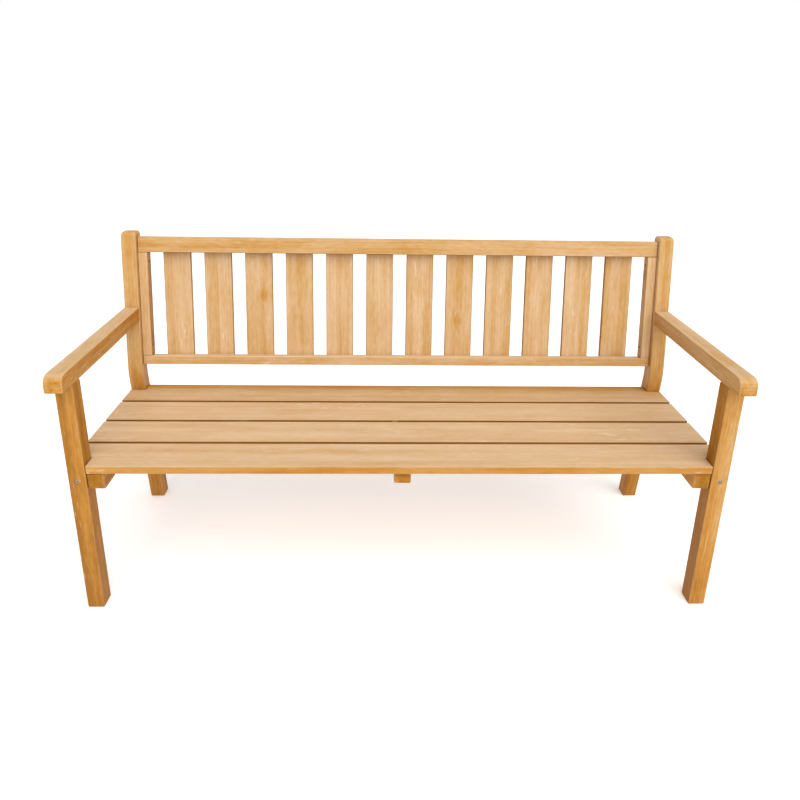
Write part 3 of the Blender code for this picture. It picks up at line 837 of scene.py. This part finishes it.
def screw_points(head, shank, long, drive):
    """Countersunk screw, head up at z = 0, pointing down.

    The top is a disc that sinks where either arm of a cross lies within the
    drive's width and reach. Below the cone a quarter of the length is plain. Then
    the radius is 0.72 shank + 0.28 shank * a triangle wave of (height / pitch -
    share of a turn), narrowed to a point.
    """
    turn = np.arange(SCREW_SIDES) / SCREW_SIDES
    even = np.ones(SCREW_SIDES)
    disc = np.linspace(0.04, 1.0, 14)[:, None] * head * even
    arm = disc * np.abs(circle_points(SCREW_SIDES)).min(axis=1)
    inside = np.clip((drive * 0.24 - arm) / (drive * 0.10), 0, 1)
    inside = inside * np.clip((drive - disc) / (drive * 0.25), 0, 1)
    top = -0.45 * head * inside
    sink = head - shank
    cone = np.array((head, shank * 1.02))[:, None] * even
    cone_z = np.array((-HEAD_EDGE, -HEAD_EDGE - sink))[:, None] * even
    pitch = shank * 0.9
    stem_long = long - sink - HEAD_EDGE
    down = np.linspace(0.0, stem_long, int(5 * long / pitch))[1:, None]
    fade = np.clip((down - 0.25 * long) / 0.004, 0, 1)
    wave = np.abs(((down / pitch - turn) % 1.0) * 2 - 1)
    point = np.clip((stem_long - down) / (3.5 * shank), 0.04, 1)
    stem = (shank * 0.72 + shank * 0.28 * np.where(fade > 0, wave * fade, 1.0)) * point
    stem_z = (-HEAD_EDGE - sink - down) * even
    radius = np.concatenate((disc, cone, stem))
    height = np.concatenate((top, cone_z, stem_z))
    return turned_points(radius, height)


def aimed(points, start, aim):
    """Turn points that look down -Z so that they look along aim, and move them."""
    aim = np.asarray(aim, float) / np.linalg.norm(aim)
    side = np.cross(aim, Z_AXIS if abs(aim[2]) < 0.9 else X_AXIS)
    side = side / np.linalg.norm(side)
    third = np.cross(-aim, side)
    return np.asarray(start, float) + points @ np.stack((side, third, -aim))


def ring_object(name, rings, finish, marks):
    """Rings joined into a closed skin, smooth but for its corners over 38 degrees."""
    mesh = bpy.data.meshes.new(name)
    mesh.from_pydata(rings.reshape(-1, 3).tolist(), [], closed_grid(rings))
    marked(mesh, marks)
    mesh.set_sharp_from_angle(angle=math.radians(38))
    return linked(name, mesh, finish)


def screw(name, size, start, aim):
    """A zinc screw whose head's top is at start and whose point is along aim."""
    head, shank, long = size
    rings = aimed(screw_points(head, shank, long, head * 0.62), start, aim)
    return ring_object(name, rings, zinc, {})


def frame_screws(side, sign):
    """The screws of one side: leg, post, arm, bearer and panel."""
    x, _, z = box_middle(f"leg_screw_{side}")
    seated(screw(f"screw_leg_{side}", FRAME_SCREW, (x, LEG_FRONT + HEAD_IN["leg"], z), Y_AXIS),
           f"leg_screw_{side}")
    x, _, z = box_middle(f"post_screw_{side}")
    post_back = behind_post(z) + STICK / math.cos(LEAN)
    seated(screw(f"screw_post_{side}", FRAME_SCREW, (x, post_back + PROUD, z),
                 (0, -math.cos(LEAN), -math.sin(LEAN))), f"post_screw_{side}")
    arm_mid = (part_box(f"armrest_{side}")[0].z + STICK / 2 - BEND_Z) / math.cos(LEAN)
    seated(screw(f"screw_arm_{side}", ARM_SCREW,
                 lean_spot(sign * STICK_MID, STICK + PROUD, arm_mid), -LEAN_BACK),
           f"arm_screw_{side}")
    for place in ("front", "rear"):
        _, y, z = box_middle(f"bearer_screw_{side}_{place}")
        seated(screw(f"screw_bearer_{side}_{place}", BEARER_SCREW,
                     (sign * (INNER - STICK + HEAD_IN["bearer"]), y, z), (sign, 0, 0)),
               f"bearer_screw_{side}_{place}")
    for place, up in PANEL_SCREWS:
        start = lean_spot(sign * (INNER - GAP - BATTEN_WIDE + HEAD_IN["batten"]),
                          FRAME_SETBACK + FRAME_DEEP / 2, up)
        seated(screw(f"screw_panel_{side}_{place}", BATTEN_SCREW, start, (sign, 0, 0)),
               f"panel_screw_{side}_{place}")


def seat_screw(place, number):
    """A screw up through a bearer into a board."""
    x, y, _ = box_middle(f"seat_screw_{place}_{number}")
    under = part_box(f"seat_bearer_{place}")[0].z
    seated(screw(f"screw_seat_{place}_{number}", SEAT_SCREW, (x, y, under - PROUD), Z_AXIS),
           f"seat_screw_{place}_{number}")


def slat_screw(number, place, rail):
    """A small screw through a slat, from behind, into a rail. No node stands for it."""
    deep = FRAME_SETBACK + FRAME_DEEP + GAP + SLAT_THICK + PROUD / 2
    start = lean_spot(slat_across(number), deep, rail[0] + SLAT_SCREW_UP)
    made = screw(f"screw_slat_{number:02d}_{place}", SLAT_SCREW, start, -LEAN_BACK)
    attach(made, "root")


for side, sign in SIDES:
    frame_screws(side, sign)
for place in ("left", "centre", "right"):
    for number in range(1, 5):
        seat_screw(place, number)
for number in range(1, SLAT_COUNT + 1):
    slat_screw(number, "top", TOP_RAIL)
    slat_screw(number, "foot", BOTTOM_RAIL)


def fluted_dowel(side, sides=72, rows=24):
    """Radius = r + flute * cos(12 a), narrowed at both rounded ends."""
    low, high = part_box(f"arm_dowel_{side}")
    long = high.z - low.z
    turn = np.arange(sides) * 2 * np.pi / sides
    share = np.linspace(0, 1, rows)[:, None]
    ends = np.clip(np.minimum(share, 1 - share) * long / 0.0018, 0, 1)
    radius = (0.0047 + 0.0002 * np.cos(12 * turn)) * (0.7 + 0.3 * np.sqrt(ends))
    rings = turned_points(radius, (0.5 - share) * long * np.ones(sides))
    flat = rings.reshape(-1, 3)
    count = len(flat)
    marks = {"fibre": flat[:, (2, 0, 1)] + fibre_start(), "arris_middle": np.zeros(count),
             "cut_end": np.zeros(count), "tone": np.tile((0.2, 0.0, 0.0), (count, 1)),
             "knot_at": np.full((count, 3), 90.0), "figure": np.full(count, 0.5),
             "shelter": np.full(count, -1.0)}
    made = ring_object(f"dowel_{side}", rings + box_middle(f"arm_dowel_{side}"), softwood, marks)
    return seated(made, f"arm_dowel_{side}")


for side, _ in SIDES:
    fluted_dowel(side)


# ---------------------------------------------------------------- studio
def studio():
    """A pale floor, a white surround that lights more softly than it looks, and a lamp."""
    size = 14.0
    mesh = bpy.data.meshes.new("studio_floor")
    mesh.from_pydata([(-size, -size, 0), (size, -size, 0), (size, size, 0), (-size, size, 0)],
                     [], [(0, 1, 2, 3)])
    mesh.materials.append(studio_floor("pale_floor"))
    floor = bpy.data.objects.new("studio_floor", mesh)
    bpy.context.scene.collection.objects.link(floor)

    world = bpy.data.worlds.new("white_surround")
    bpy.context.scene.world = world
    world.use_nodes = True
    tree = world.node_tree
    back = tree.nodes["Background"]
    back.inputs["Color"].default_value = (1.0, 1.0, 1.0, 1.0)
    seen = tree.nodes.new("ShaderNodeLightPath").outputs["Is Camera Ray"]
    tree.links.new(between(tree, seen, 0.0, 1.0, SKY_LIGHT, 1.0), back.inputs["Strength"])

    lamp = bpy.data.lights.new("overhead_diffuser", "SUN")
    lamp.angle, lamp.energy = LAMP_WIDTH, LAMP_LIGHT
    lit = bpy.data.objects.new("overhead_diffuser", lamp)
    lit.rotation_euler = Vector(LAMP_FROM).to_track_quat("Z", "Y").to_euler()
    bpy.context.scene.collection.objects.link(lit)


def viewpoint():
    """Eye-level view from just left of the middle, a little turned and rolled."""
    ahead = Vector((math.sin(EYE_TURN) * math.cos(EYE_DIP),
                    math.cos(EYE_TURN) * math.cos(EYE_DIP), math.sin(EYE_DIP)))
    right = ahead.cross(Vector((0, 0, 1))).normalized()
    up = right.cross(ahead)
    level = math.cos(EYE_ROLL) * right + math.sin(EYE_ROLL) * up
    crown = -math.sin(EYE_ROLL) * right + math.cos(EYE_ROLL) * up
    lens = bpy.data.cameras.new("view")
    lens.sensor_width = 36.0
    lens.lens = LENS
    lens.shift_x, lens.shift_y = LENS_SHIFT
    eye = bpy.data.objects.new("view", lens)
    bpy.context.scene.collection.objects.link(eye)
    turned = (level, crown, -ahead)
    for row in range(3):
        for col in range(3):
            eye.matrix_world[row][col] = turned[col][row]
    eye.location = EYE
    bpy.context.scene.camera = eye


studio()
viewpoint()
bpy.context.scene.view_settings.view_transform = "Standard"
